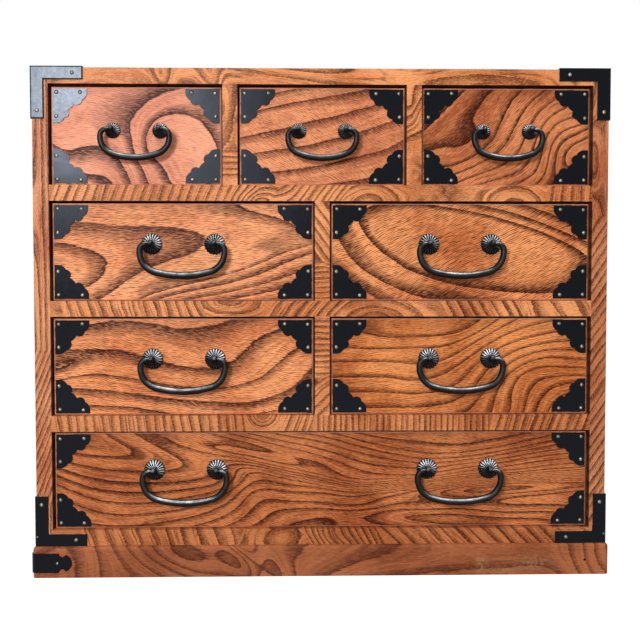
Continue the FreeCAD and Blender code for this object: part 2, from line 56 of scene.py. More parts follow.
class Value:
    """A number socket; arithmetic on it adds Math nodes beside it."""

    def __init__(self, shading, socket):
        self.shading, self.socket = shading, socket

    def _math(self, operation, *others):
        return self.shading.maths(operation, self, *others)

    def _after(self, operation, first):
        return self.shading.maths(operation, first, self)

    def __add__(self, other): return self._math("ADD", other)
    def __sub__(self, other): return self._math("SUBTRACT", other)
    def __mul__(self, other): return self._math("MULTIPLY", other)
    def __truediv__(self, other): return self._math("DIVIDE", other)
    def __pow__(self, other): return self._math("POWER", other)
    def __rsub__(self, other): return self._after("SUBTRACT", other)
    def __rtruediv__(self, other): return self._after("DIVIDE", other)
    def __rpow__(self, other): return self._after("POWER", other)
    def __neg__(self): return self * -1.0
    __radd__, __rmul__ = __add__, __mul__

    def floor(self): return self._math("FLOOR")
    def fraction(self): return self._math("FRACT")
    def at_least(self, low): return self._math("MAXIMUM", low)
    def at_most(self, high): return self._math("MINIMUM", high)
    def size(self): return self._math("ABSOLUTE")

    def _mapped(self, kind, start, end, low, high):
        return Value(self.shading, self.shading.node(
            "ShaderNodeMapRange", {"interpolation_type": kind, "clamp": True},
            {"Value": self, "From Min": start, "From Max": end, "To Min": low, "To Max": high}
        ).outputs["Result"])

    def rise(self, start, end, low=0.0, high=1.0):
        """Goes smoothly from low at start to high at end."""
        return self._mapped("SMOOTHSTEP", start, end, low, high)

    def ramp(self, start, end, high):
        """Goes evenly from 0 at start to high at end."""
        return self._mapped("LINEAR", start, end, 0.0, high)

    def inside(self, low, high):
        """1 between low and high, and 0 outside."""
        return self._math("GREATER_THAN", low) * self._math("LESS_THAN", high)


class Shading:
    """The shader nodes of a material or of the world."""

    def __init__(self, tree):
        self.tree = tree

    def node(self, kind, settings=None, inputs=None):
        """Adds a node: its settings first, then a value or a link for each named input."""
        made = self.tree.nodes.new(kind)
        for key, value in (settings or {}).items():
            setattr(made, key, value)
        for key, value in (inputs or {}).items():
            self.feed(made.inputs[key], value)
        return made

    def feed(self, socket, value):
        """Links a socket to a value, or sets it."""
        value = value.socket if isinstance(value, Value) else value
        if isinstance(value, bpy.types.NodeSocket):
            self.tree.links.new(value, socket)
        else:
            socket.default_value = value

    def maths(self, operation, *values):
        return Value(self, self.node(
            "ShaderNodeMath", {"operation": operation}, dict(enumerate(values))).outputs[0])

    def vector(self, operation, *values, **named):
        inputs = {**dict(enumerate(values)), **named}
        made = self.node("ShaderNodeVectorMath", {"operation": operation}, inputs)
        return made.outputs["Value" if operation in ("DOT_PRODUCT", "LENGTH") else "Vector"]

    def mix(self, factor, a, b, blend="MIX"):
        """The colour a where the factor is 0 and b where it is 1."""
        made = self.node("ShaderNodeMix", {"data_type": "RGBA", "blend_type": blend})
        self.feed(made.inputs[0], factor)
        self.feed(made.inputs[6], a)
        self.feed(made.inputs[7], b)
        return made.outputs[2]


class Finish(Shading):
    """One material on a Principled shader, whose even values are set on the shader itself."""

    def __init__(self, name, **constants):
        self.material = bpy.data.materials.new(name)
        self.material.use_nodes = True
        super().__init__(self.material.node_tree)
        self.shader = self.tree.nodes["Principled BSDF"]
        for socket, value in constants.items():
            self.shader.inputs[socket.replace("_", " ")].default_value = value
        place = self.node("ShaderNodeTexCoord").outputs["Object"]
        # The place in millimetres.
        self.mm = self.vector("SCALE", place, Scale=1.0 / MM)

    def axes(self, vector=None):
        """The X, Y and Z of a vector, or of the place in mm."""
        split = self.node("ShaderNodeSeparateXYZ", None, {0: vector or self.mm})
        return [Value(self, split.outputs[i]) for i in range(3)]

    def combine(self, x, y, z):
        return self.node("ShaderNodeCombineXYZ", None, {0: x, 1: y, 2: z}).outputs[0]

    def turned(self, vector, centre, turn, reach):
        """The vector seen from a centre, turned back by turn and measured in reaches."""
        return self.node(
            "ShaderNodeMapping", {"vector_type": "TEXTURE"},
            {"Vector": vector, "Location": centre, "Rotation": turn, "Scale": reach}).outputs[0]

    def noise(self, vector, scale=1.0, detail=2.0, roughness=0.5, distortion=0.0):
        return Value(self, self.node(
            "ShaderNodeTexNoise", None,
            {"Vector": vector, "Scale": scale, "Detail": detail, "Roughness": roughness,
             "Distortion": distortion}).outputs["Fac"])

    def chance(self, value, seed=0.0):
        """A number from 0 to 1 that is fixed for each whole value."""
        return Value(self, self.node(
            "ShaderNodeTexWhiteNoise", {"noise_dimensions": "1D"},
            {"W": value + (seed + 0.37)}).outputs["Value"])

    def attribute(self, name):
        return Value(self, self.node(
            "ShaderNodeAttribute", {"attribute_name": name}).outputs["Fac"])

    def paint(self, colour, rough):
        """Feeds the shader's colour and roughness."""
        self.feed(self.shader.inputs["Base Color"], colour)
        self.feed(self.shader.inputs["Roughness"], rough)

    def bump(self, height, depth, strength=1.0):
        """Feeds the shader's normal from a height in units of depth (metres)."""
        made = self.node("ShaderNodeBump", None,
                         {"Strength": strength, "Distance": depth, "Height": height})
        self.feed(self.shader.inputs["Normal"], made.outputs[0])

    def wear_to(self, *node_names):
        """Puts this material on every slot of some CAD nodes."""
        for node_name in node_names:
            mesh = nodes[node_name].data
            mesh.materials.clear()
            mesh.materials.append(self.material)


def linear(r, g, b):
    """A colour given as 0 to 255 screen values, as linear light."""
    def one(v):
        v = v / 255.0
        return v / 12.92 if v <= 0.04045 else ((v + 0.055) / 1.055) ** 2.4
    return (one(r), one(g), one(b), 1.0)


# ------------------------------------------------------------------ keyaki boards

FLAT = 1e6    # a reach, in mm, that takes an axis out of a swell

# How the rings lie in each board, with lengths in mm. A ring is darkest at each whole ring
# number and fades as the number grows.
#   level, climb    the ring number at the frame's origin, and rings per mm along X, Y and Z
#   plane           the board's plane, XZ where nothing is said
#   swells          bends: centre (two places in the plane), two reaches, turn (degrees), rings
#   runs            rings added evenly: (axis, start, end, rings, lean)
#   wander          how many rings they sway, and how quickly along X, Y and Z
#   boards          several boards in one node: (axis, start, end, low, high, the board's own)
#   fade, depth     how much of each year is dark, and how dark
#   ragged          how far the pores tear the rings' edges
#   plain_above, plain_below    no rings lie past this number
#   streaks, streak fine streaks to each year, and how strong they are
#   grain, dash     the axis the pores run along, and their angle from it (degrees)
#   pores, pore_length          how open the pores are, and how long
#   chamfer         how strongly the chamfers get a pale painted highlight
#   mellow          painted shade where the light falls off, darker towards one side: (axis, none, full, how much)
#   seed            picks how the years differ
# In the eight fronts and the plinth, level, climb and swells were made by a fitting program from ring
# lines traced by eye, apart from the last swell of upper_left, lower_right, bottom and plinth. Those
# four and the other boards' swells and runs were chosen one by one.
FIGURES = {
    "top_left": {
        "level": 4.822, "climb": (0.0018, 0.012, -0.0077), "dash": -6.0, "fade": 0.5, "depth": 1.3,
        "seed": 1.7, "plain_below": -2.7, "ragged": 0.1, "streak": 0.22, "pores": 0.34,
        "pore_length": 5.0, "chamfer": 0.55,
        "swells": [
            (-217.4, 342.8, 119.3, 7.0, -43.9, 1.339), (-180.1, 315.2, 32.0, 23.9, -74.9, 1.183),
            (-125.1, 386.4, 140.0, 23.8, 8.4, -0.576), (-106.4, 338.8, 50.1, 42.1, -107.5, -2.912),
            (-135.6, 363.7, 23.6, 16.9, -130.0, -1.149),
        ]},
    "top_middle": {
        "level": 33.27, "climb": (0.0186, 0.012, -0.077), "dash": -30.0, "fade": 0.42,
        "depth": 1.18, "seed": 18.7, "ragged": 0.1, "streak": 0.3, "chamfer": 0.55,
        "swells": [
            (-44.2, 382.8, 45.9, 7.6, -168.0, 0.585), (61.0, 319.1, 128.1, 52.1, 0.8, -1.917),
        ]},
    "top_right": {
        "level": -19.801, "climb": (-0.0444, 0.012, 0.066), "dash": 36.0, "fade": 0.36,
        "depth": 1.25, "seed": 30.6, "ragged": 0.1, "streaks": 5.0, "streak": 0.5, "chamfer": 0.55,
        "swells": [
            (200.5, 357.6, 23.6, 20.1, -85.1, -1.868), (234.7, 371.4, 54.1, 12.8, 42.3, -1.947),
            (119.3, 354.3, 59.4, 15.9, 44.7, 0.781), (159.7, 345.3, 95.3, 31.0, -12.4, 1.65),
        ]},
    "upper_left": {
        "level": -14.099, "climb": (-0.0072, 0.012, 0.0483), "dash": 3.0, "fade": 0.56,
        "depth": 1.12, "seed": 45.9, "ragged": 0.14, "streak": 0.24, "pores": 0.65,
        "pore_length": 5.5, "chamfer": 0.55,
        "swells": [
            (-214.3, 236.1, 82.4, 42.2, -22.0, 4.243), (-109.2, 246.1, 140.0, 7.0, 17.8, 0.772),
            (-107.9, 265.6, 140.0, 42.2, 0.6, 3.925), (-88.3, 239.0, 10.0, 44.8, -75.0, 0.517),
            (-10.3, 282.1, 48.8, 15.0, -13.9, 0.8), (-131.5, 278.0, 30.0, 9.0, 5.7, 0.22),
        ]},
    "upper_right": {
        "level": 4.922, "climb": (-0.0009, 0.012, -0.0171), "dash": 24.0, "fade": 0.46,
        "depth": 1.2, "seed": 64.6, "plain_above": 2.8, "ragged": 0.17, "streak": 0.22,
        "pores": 0.85, "pore_length": 6.5, "chamfer": 0.55,
        "swells": [
            (125.4, 288.1, 111.7, 12.0, -12.5, 1.003), (122.3, 277.3, 140.0, 45.1, -13.0, 5.432),
            (71.6, 273.7, 34.3, 8.0, 148.4, 1.842), (57.0, 248.0, 47.9, 12.4, -26.4, 0.619),
        ]},
    "lower_left": {
        "level": 18.113, "climb": (0.0078, 0.012, -0.0659), "dash": -8.0, "fade": 0.46,
        "depth": 1.15, "seed": 79.9, "ragged": 0.14, "streak": 0.26, "pores": 0.62,
        "pore_length": 5.0, "chamfer": 0.55,
        "swells": [
            (1.5, 186.3, 99.8, 11.5, 23.9, 0.26), (-90.9, 132.1, 132.1, 13.3, 7.2, -0.716),
            (-216.9, 254.1, 131.2, 20.3, -38.0, 0.311), (-225.6, 169.8, 31.0, 9.8, 16.6, -1.084),
            (-124.0, 186.5, 99.6, 41.0, 26.4, -0.714), (-70.0, 159.2, 82.5, 35.2, -2.9, -2.363),
        ]},
    "lower_right": {
        "level": -13.357, "climb": (-0.017, 0.012, 0.0709), "dash": 4.0, "fade": 0.34,
        "depth": 1.12, "seed": 98.6, "ragged": 0.09, "streaks": 5.0, "streak": 0.35,
        "chamfer": 0.55,
        "swells": [
            (166.9, 164.8, 42.1, 14.8, 32.2, -0.833), (227.8, 132.0, 98.3, 38.4, 150.7, -5.113),
            (135.8, 222.8, 65.6, 22.0, 45.2, 1.453), (69.8, 201.0, 50.7, 15.8, 11.1, 0.739),
            (135.6, 159.5, 102.5, 64.5, -11.3, 2.3), (84.0, 207.0, 50.0, 11.0, 0.0, 0.7),
        ]},
    "bottom": {
        "level": 19.743, "climb": (-0.0078, 0.012, -0.0962), "dash": -10.0, "fade": 0.36,
        "depth": 1.12, "seed": 117.3, "ragged": 0.1, "streaks": 4.0, "streak": 0.5, "chamfer": 0.55,
        "swells": [
            (149.7, 73.9, 133.8, 9.0, 1.4, 7.804), (46.3, 120.2, 159.6, 19.2, -13.7, -2.249),
            (207.2, 40.8, 156.0, 40.2, 38.4, 4.921), (-45.7, 95.9, 94.1, 9.0, -13.7, -5.577),
            (-57.1, 76.7, 19.6, 26.1, 58.6, 2.07), (126.3, 104.2, 94.4, 20.2, 15.7, -3.588),
            (91.2, 76.7, 83.2, 9.0, 2.4, -5.069), (52.1, 56.1, 137.6, 44.8, 9.7, 8.396),
            (-99.3, 110.3, 147.7, 14.7, -14.3, 5.696), (49.5, 74.2, 50.8, 42.0, 19.1, -4.856),
            (57.7, 71.7, 27.7, 27.1, 59.1, 1.692), (-241.6, 76.9, 46.7, 26.8, -30.3, 2.029),
            (108.0, 43.9, 128.3, 9.2, -4.3, 1.949), (177.8, 52.5, 77.1, 17.4, 0.5, 2.159),
            (207.8, 86.1, 73.6, 10.5, -9.3, 0.622), (220.7, 93.8, 32.0, 12.8, 38.7, -0.463),
            (7.3, 95.6, 72.0, 9.0, -14.0, -1.379), (112.0, 124.0, 30.0, 10.0, 0.0, -0.8),
        ]},
    "plinth": {
        "level": 1.691, "climb": (-0.0039, 0.012, 0.0183), "fade": 0.34, "depth": 0.95,
        "seed": 156.4, "streak": 0.3, "pores": 0.25,
        "swells": [
            (-219.1, 21.5, 114.7, 40.0, -110.8, -2.314), (-60.0, 1.3, 83.8, 50.5, 183.3, 1.912),
            (-62.0, 19.8, 10.0, 89.2, -146.2, -3.237), (84.3, 20.1, 139.8, 18.4, -5.4, 0.738),
            (251.6, 26.4, 60.3, 35.8, 86.0, 5.177), (-56.1, 8.0, 36.5, 12.9, -39.7, 3.598),
            (-117.1, 21.8, 52.3, 20.5, -21.7, 3.449), (172.0, 24.0, 42.0, 14.0, 0.0, 0.45),
        ]},
    "rails": {
        "painted_shade": ("Z", 225.0, 30.0, 0.62), "fade": 0.46, "pores": 0.3, "pore_length": 1.6,
        "streaks": 7.0, "streak": 0.75,
        "boards": [
            ("Z", 400.0, 500.0, -300.0, 300.0, {
                "level": -8.34, "climb": (0.002, 0.012, 0.05),
                "wander": (0.25, (0.012, 0.02, 0.05)),
                "swells": [
                    (-131.0, 411.0, 8.5, 22.0, 14.0, 1.15), (-91.0, 412.0, 8.0, 18.0, 20.0, 1.1),
                    (130.0, 404.0, 90.0, 14.0, 0.0, 2.0), (-20.0, 424.0, 60.0, 12.0, -8.0, 1.6),
                    (-190.0, 402.0, 40.0, 9.0, 2.0, 1.2),
                ]}),
            ("Z", 300.0, 400.0, -300.0, 300.0, {
                "level": 4.12, "wander": (0.25, (0.03, 0.02, 0.05)),
                "runs": [
                    ("X", -350.0, -180.0, 22.0, 0.4), ("X", -260.6, -202.6, 9.0, 0.7),
                    ("X", 186.0, 225.0, 5.0, 0.0),
                ],
                "swells": [
                    (-50.0, 311.0, 17.0, 9.0, 10.0, 3.0), (37.5, 309.0, 24.0, 16.0, 0.0, 2.15),
                    (158.0, 309.0, 22.0, 14.0, 0.0, 1.9),
                ]}),
            ("Z", 180.0, 300.0, -300.0, 300.0, {
                "level": 6.14, "wander": (0.25, (0.03, 0.02, 0.05)),
                "runs": [
                    ("X", -148.0, -31.0, 13.0, -0.3), ("X", -223.0, -162.0, 6.0, 0.8),
                    ("X", 234.0, 299.0, 7.0, -0.6), ("X", 276.0, 336.0, 3.2, -0.5),
                ],
                "swells": [
                    (-76.0, 229.5, 24.0, 10.5, 0.0, 1.9), (43.0, 214.0, 30.0, 13.0, 0.0, 3.2),
                ]}),
            ("Z", 90.0, 180.0, -300.0, 300.0, {
                "level": 8.08, "wander": (0.8, (0.02, 0.02, 0.01)),
                "runs": [
                    ("X", -209.0, -51.0, 22.0, -0.1), ("X", -85.0, -59.0, 4.0, 0.4),
                    ("X", -8.0, 140.0, 30.0, 0.0), ("X", 102.0, 184.0, 11.0, 0.3),
                ],
                "swells": [(-49.5, 136.5, 9.0, 9.0, 0.0, 4.0)]}),
            ("Z", -50.0, 90.0, -300.0, 300.0, {
                "level": 7.18, "wander": (0.4, (0.02, 0.02, 0.02)),
                "runs": [
                    ("X", -189.0, -59.0, 10.0, -0.35), ("X", 4.0, 66.0, 12.0, -0.5),
                    ("X", 83.0, 233.0, 12.5, -1.0),
                ],
                "swells": [
                    (-34.0, 31.0, 19.0, 13.0, 16.0, 1.15), (8.0, 34.0, 16.0, 9.0, 0.0, 0.9),
                ]}),
        ]},
    "stiles": {
        "painted_shade": ("X", -100.0, 150.0, 0.42), "fade": 0.46, "grain": "Z", "pores": 0.3,
        "pore_length": 1.6, "streaks": 6.0, "streak": 0.7,
        "boards": [
            ("X", -300.0, 0.0, -50.0, 500.0, {
                "level": 61.78, "climb": (0.23, 0.012, 0.002), "wander": (0.5, (0.03, 0.02, 0.01)),
                "runs": [("Z", 60.0, 190.0, -12.0, 0.0)],
                "swells": [(-240.0, 305.0, 7.0, 52.0, 0.0, 1.8)]}),
            ("X", 0.0, 300.0, -50.0, 500.0, {
                "level": 11.78, "climb": (0.15, 0.012, 0.0), "wander": (0.4, (0.03, 0.02, 0.01)),
                "runs": [("Z", 40.0, 300.0, -26.0, 0.0)],
                "swells": [(223.0, 345.0, 8.0, 36.0, 0.0, 3.0)]}),
        ]},
    "dividers": {
        "fade": 0.42, "pores": 0.34, "pore_length": 1.6, "streaks": 6.0, "streak": 0.7,
        "boards": [
            ("Z", 318.0, 500.0, -120.0, 0.0, {
                "level": 4.58, "wander": (0.15, (0.05, 0.02, 0.04)),
                "runs": [("Z", 330.0, 354.0, -5.0, 0.0)],
                "swells": [(-82.5, 388.0, 8.5, 27.0, -8.0, 1.1)]}),
            ("Z", 318.0, 500.0, 0.0, 120.0, {
                "level": 6.48, "wander": (0.35, (0.05, 0.02, 0.04)),
                "runs": [("Z", 338.0, 370.0, -4.0, 0.3)],
                "swells": [(82.0, 390.0, 6.0, 15.0, 0.0, 1.6)]}),
            ("Z", 223.0, 318.0, -60.0, 60.0, {
                "level": 8.78, "wander": (0.25, (0.05, 0.02, 0.04)),
                "runs": [("Z", 262.0, 312.0, -5.0, -1.4), ("Z", 228.0, 262.0, -8.0, 0.0)]}),
            ("Z", 100.0, 223.0, -60.0, 60.0, {
                "level": 10.78, "wander": (0.35, (0.05, 0.02, 0.04)),
                "runs": [("Z", 165.0, 218.0, -11.0, 0.0), ("Z", 130.0, 165.0, -4.0, 0.9)]}),
        ]},
    "side_left": {
        "plane": "YZ", "grain": "Z", "level": 3.0, "climb": (0.02, 0.05, 0.004), "fade": 0.34,
        "wander": (0.5, (0.02, 0.02, 0.006)),
        "swells": [(20.0, 120.0, 66.0, 300.0, 0.0, 8.0)]},
    "side_right": {
        "plane": "YZ", "grain": "Z", "level": 7.0, "climb": (0.02, -0.04, -0.005), "fade": 0.34,
        "wander": (0.5, (0.02, 0.02, 0.006)),
        "swells": [(-10.0, 300.0, 60.0, 320.0, 0.0, 9.0)]},
    "top": {
        "plane": "XY", "level": 11.0, "climb": (0.004, 0.05, 0.02), "fade": 0.34,
        "wander": (0.5, (0.006, 0.02, 0.02)),
        "swells": [(-60.0, 20.0, 280.0, 58.0, 3.0, 8.0)]},
    "plinth_sides": {
        "plane": "YZ", "grain": "Y", "level": 5.0, "climb": (0.01, 0.01, 0.1), "fade": 0.34,
        "depth": 0.75, "wander": (1.0, (0.02, 0.008, 0.02))},
}

# Screen colours of each piece's pale wood, middle wood and dark rings. Part of how they
# differ is painted light: top_left is paler and pinker with a painted sheen, and the lower and
# right-hand pieces are darker with painted shade where the light falls off.
TONES = {
    "top_left": ((241, 158, 120), (214, 127, 95), (62, 26, 20)),
    "top_middle": ((240, 154, 104), (200, 116, 74), (82, 32, 20)),
    "top_right": ((222, 136, 86), (172, 90, 50), (58, 20, 9)),
    "upper_left": ((252, 168, 113), (228, 138, 88), (66, 26, 16)),
    "upper_right": ((242, 155, 96), (200, 109, 60), (62, 23, 11)),
    "lower_left": ((245, 157, 101), (214, 120, 70), (58, 23, 13)),
    "lower_right": ((236, 146, 84), (186, 100, 48), (72, 28, 14)),
    "bottom": ((214, 128, 76), (164, 84, 44), (62, 22, 10)),
    "plinth": ((174, 102, 64), (138, 74, 44), (76, 34, 20)),
    "rails": ((236, 154, 98), (196, 114, 64), (80, 32, 16)),
    "stiles": ((224, 148, 102), (188, 106, 66), (78, 32, 18)),
    "case": ((204, 122, 72), (170, 92, 50), (84, 38, 22)),
    "inside": ((190, 140, 92), (172, 120, 76), (132, 86, 52)),
    "kiri": ((214, 182, 132), (202, 168, 118), (176, 140, 92)),
}


def bell(finish, seen):
    """exp(-r^2) of a vector's length r."""
    return math.exp(-1.0) ** Value(finish, finish.vector("DOT_PRODUCT", seen, seen))


def lifted(finish, figure):
    """The ring number: a plane, plus runs, plus swells of height * exp(-(u^2 + v^2)), plus sway.

    A run adds its rings evenly between two places along X or Z, and its lean tilts them.
    """
    plane = figure.get("plane", "XZ")
    across, up = ("XYZ".index(letter) for letter in plane)
    out = ({0, 1, 2} - {across, up}).pop()
    climb = figure.get("climb", (0.0, 0.012, 0.0))
    total = Value(finish, finish.vector("DOT_PRODUCT", finish.mm, climb)) + figure["level"]
    x, y, z = finish.axes()
    for axis, start, end, rings, lean in figure.get("runs", ()):
        place = x - z * lean if axis == "X" else z - x * lean
        total = total + place.ramp(start, end, rings)
    for a, b, reach_a, reach_b, turn, height in figure.get("swells", ()):
        centre, reach, angles = [0.0] * 3, [FLAT] * 3, [0.0] * 3
        centre[across], centre[up] = a, b
        reach[across], reach[up] = reach_a, reach_b
        # A positive turn about Y carries X away from Z, so it counts the other way.
        angles[out] = math.radians(-turn if out == 1 else turn)
        seen = finish.turned(finish.mm, centre, angles, reach)
        total = finish.maths("MULTIPLY_ADD", bell(finish, seen), height, total)
    wander, stretch = figure.get("wander", (0.16, (0.016, 0.02, 0.05)))
    sway = finish.noise(finish.vector("MULTIPLY", finish.mm, stretch), detail=2.0) - 0.5
    return total + sway * (2.0 * wander)


def ring_number(finish, figure):
    """The figure's ring number, or for a node of several boards each board's own."""
    if "boards" not in figure:
        return lifted(finish, figure)
    x, y, z = finish.axes()
    total = None
    for axis, start, end, low, high, board in figure["boards"]:
        along, over = (x, z) if axis == "X" else (z, x)
        inside = along.inside(start, end) * over.inside(low, high)
        term = lifted(finish, board) * inside
        total = term if total is None else total + term
    return total


def keyaki(name, figure, tone, gloss=0.36, scuffs=None, hole=None, inset=None):
    """Lacquered zelkova: rings that end sharply on one side and fade to the other, open pores.

    With f the fraction of the ring number, a ring's darkness is (1 - f / width)^0.8, broken
    by the pores. Scuffs and a nail hole are put on top, and the edges inside an inset (half
    width, top), which face the gaps of the drawers, get painted shade, nearly black.
    """
    finish = Finish(name, Specular_IOR_Level=0.06)
    pale, middle, dark = (linear(*colour) for colour in tone)
    fade = figure.get("fade", 0.42)
    grain = figure.get("grain", "X")
    # Pores lie in short dashes along the grain: noise stretched along it, in loose rows that
    # bend a little.
    turns = (0.0, math.radians(-figure.get("dash", 0.0)), 0.0)
    reach = [0.48, 0.80, 0.48]
    reach["XYZ".index(grain)] = figure.get("pore_length", 4.2)
    bent = finish.noise(finish.mm, scale=0.028, detail=2.0) - 0.5
    x, y, z = finish.axes()
    swung = finish.combine(x + bent * 4.0, y, z + bent * 12.0)
    laid = finish.turned(swung, (0.0, 0.0, 0.0), turns, reach)
    dashes = finish.noise(laid, detail=1.0, roughness=0.5)
    coarse = finish.noise(
        finish.turned(swung, (11.0, 3.0, 7.0), turns, [r * 2.6 for r in reach]), detail=2.0)
    thin = finish.axes(laid)[0 if grain == "Z" else 2]
    rows = ((thin * (0.60 / 1.8) + coarse * 1.3).fraction() * 2.0 - 1.0).size()
    hatch = rows.rise(0.35, 0.85) * dashes.rise(0.36, 0.56) + dashes.rise(0.56, 0.72) * 0.6

    # The edges of the rings are ragged with the pores.
    smooth_ring = ring_number(finish, figure)
    if "plain_above" in figure:
        smooth_ring = smooth_ring.at_most(figure["plain_above"])
    if "plain_below" in figure:
        smooth_ring = smooth_ring.at_least(figure["plain_below"])
    ragged = figure.get("ragged", 0.18)
    ring = smooth_ring + (coarse - 0.5) * ragged + (dashes - 0.5) * ragged * 0.7
    year = ring.floor()
    within = ring - year
    luck = finish.chance(year, figure.get("seed", 0.0))
    width = luck * (fade * 0.8) + fade * 0.6
    band = (1.0 - (within / width)).at_least(0.0) ** 0.8
    ahead = within.rise(0.92, 0.98)
    strength = finish.noise(finish.mm, scale=0.02, detail=1.0).rise(0.30, 0.62, 0.8, 1.0)
    porous = band * dashes.rise(0.36, 0.60, 0.62, 1.15)
    rings = (porous + ahead).at_most(1.0) * strength * (luck * 0.22 + 0.80)
    # Fine streaks run with the rings, a few to each year.
    along = finish.combine(smooth_ring * figure.get("streaks", 9.0), x * 0.035, z * 0.035)
    streaks = finish.noise(along, detail=2.0, roughness=0.6)

    patches = finish.noise(finish.mm, scale=0.018, detail=3.0)
    body = finish.mix(patches.rise(0.34, 0.66), pale, middle)
    body = finish.mix(streaks.rise(0.36, 0.48, 0.50, 0.0), body, pale)
    body = finish.mix(streaks.rise(0.50, 0.70, 0.0, figure.get("streak", 0.6)), body, dark)
    pores = figure.get("pores", 0.55)
    open_pores = (hatch * (band * 0.2 + pores)).at_most(1.0)
    body = finish.mix(open_pores, body, dark)
    body = finish.mix(dashes.rise(0.32, 0.46, 0.35, 0.0), body, pale)
    body = finish.mix((rings * figure.get("depth", 1.0)).at_most(1.0), body, dark)
    # Painted shade: the boards are painted darker towards the bottom or the right, where the light
    # falls off.
    if "painted_shade" in figure:
        axis, none, full, amount = figure["painted_shade"]
        shaded = (x if axis == "X" else z).rise(none, full, 0.0, amount)
        body = finish.mix(shaded, body, (0.55, 0.42, 0.34, 1.0), "MULTIPLY")

    # End grain drinks the lacquer and is darker, and the chamfers are painted pale, a painted
    # highlight along the edges.
    facing = finish.axes(finish.node("ShaderNodeTexCoord").outputs["Normal"])
    if figure.get("chamfer"):
        chamfer = facing[1].size().inside(0.5, 0.9)
        body = finish.mix(chamfer * figure["chamfer"], body, linear(238, 170, 146))
    end = facing["XYZ".index(grain)].size().rise(0.80, 0.95)
    body = finish.mix(end * 0.55, body, dark)
    if inset:
        # Painted shade: those edges are thin and painted nearly black, for the shadow in the gaps.
        half_width, top = inset
        turned = facing[0].size().rise(0.75, 0.95) * 0.88 + (-facing[2]).rise(0.75, 0.95)
        gap_shade = turned * x.size().rise(half_width - 0.5, half_width, 1.0, 0.0)
        gap_shade = gap_shade * z.rise(top - 0.5, top, 1.0, 0.0)
        body = finish.mix(gap_shade * 0.93, body, linear(26, 12, 8))

    rough = dashes * 0.16 + (gloss - 0.08) + end * 0.2
    if scuffs:
        body, rough = worn(finish, body, rough, scuffs)
    if hole:
        body = nail_hole(finish, body, hole)
    finish.paint(body, rough)
    finish.bump(rings * -0.5 - open_pores * 0.8, 0.00008, 0.5)
    return finish


def worn(finish, body, rough, scuffs):
    """Pale rubbed places, each a soft spot (x, z, reach x, reach z in mm) broken by noise."""
    specks = finish.noise(finish.mm, scale=0.35, detail=4.0, roughness=0.7)
    rubbed = None
    for x, z, reach_x, reach_z in scuffs:
        seen = finish.turned(finish.mm, (x, 0.0, z), (0.0, 0.0, 0.0), (reach_x, FLAT, reach_z))
        spot = bell(finish, seen)
        rubbed = spot if rubbed is None else rubbed + spot
    rubbed = (rubbed * specks.rise(0.38, 0.66)).at_most(0.9)
    return finish.mix(rubbed * 0.30, body, linear(206, 168, 124)), rough + rubbed * 0.2


def nail_hole(finish, body, hole):
    """A bare nail hole at (x, z) in mm, dark and 2 mm wide."""
    seen = finish.turned(finish.mm, (hole[0], 0.0, hole[1]), (0.0, 0.0, 0.0), (1.0, FLAT, 1.0))
    near = Value(finish, finish.vector("LENGTH", seen)).rise(0.85, 1.25, 1.0, 0.0)
    return finish.mix(near, body, linear(20, 12, 10))


def kiri(name, tone, grain):
    """Plain pale drawer wood: soft straight grain, matt."""
    finish = Finish(name, Specular_IOR_Level=0.35)
    pale, middle, dark = (linear(*colour) for colour in tone)
    reach = [3.0, 3.0, 3.0]
    reach["XYZ".index(grain)] = 90.0
    laid = finish.turned(finish.mm, (0.0,) * 3, (0.0,) * 3, reach)
    lines = finish.noise(laid, detail=3.0, roughness=0.6, distortion=0.4)
    specks = finish.noise(finish.mm, scale=0.9, detail=3.0)
    body = finish.mix(lines.rise(0.35, 0.62), pale, middle)
    body = finish.mix(lines.rise(0.56, 0.72) * 0.7, body, dark)
    body = finish.mix(specks.rise(0.58, 0.75) * 0.35, body, dark)
    finish.paint(body, specks * 0.15 + 0.55)
    finish.bump(lines, 0.00015, 0.5)
    return finish


# ------------------------------------------------------------------ iron

def black_plate(name, corner=None):
    """Sheet iron under satin black lacquer, a little uneven, with a few dull rubs.

    A corner iron's arms (half width, top, foot, arm width and reach in mm) have filed,
    duller rims, where the least distance to an edge is under about 1 mm.
    """
    finish = Finish(name, Specular_IOR_Level=0.14, Specular_Tint=(0.84, 0.89, 1.0, 1.0))
    waves = finish.noise(finish.mm, scale=0.05, detail=1.0)
    pale_marks = finish.noise(finish.mm, scale=0.35, detail=4.0, roughness=0.7)
    body = finish.mix(pale_marks.rise(0.62, 0.85) * 0.4, linear(2, 3, 7), linear(34, 36, 44))
    rough = pale_marks.rise(0.3, 0.8, 0.17, 0.23)
    if corner:
        half_width, top, foot, width, reach = corner
        x, y, z = finish.axes()
        side = half_width - x.size()
        end = (top - z).at_most(z - foot)
        inner = (width - side).at_least(width - end)
        rim = side.at_most(end).at_most(inner).at_most(reach - side).at_most(reach - end)
        rough = rough + rim.rise(0.35, 1.05, 0.6, 0.0)
    finish.paint(body, rough)
    finish.bump(waves, 0.0006, 0.2)
    return finish


def forged_iron(name, dull, bright):
    """Dark forged iron, a little pitted, bright where its rub attribute is high: rubbed wear on nails
    and bars, painted highlights on bails, eyes and rosettes.
    """
    finish = Finish(name, Metallic=0.9)
    pits = finish.noise(finish.mm, scale=0.9, detail=4.0, roughness=0.7)
    cloud = finish.noise(finish.mm, scale=0.12, detail=2.0)
    rub_and_highlight = (finish.attribute("rub_and_highlight") * cloud.rise(0.25, 0.7, 0.35, 1.0)
           * pits.rise(0.30, 0.55, 0.3, 1.0)).at_most(1.0)
    body = finish.mix(rub_and_highlight, linear(*dull), linear(*bright))
    finish.paint(body, pits * 0.22 + 0.30 - rub_and_highlight * 0.06)
    finish.bump(pits, 0.00015, 0.6)
    return finish


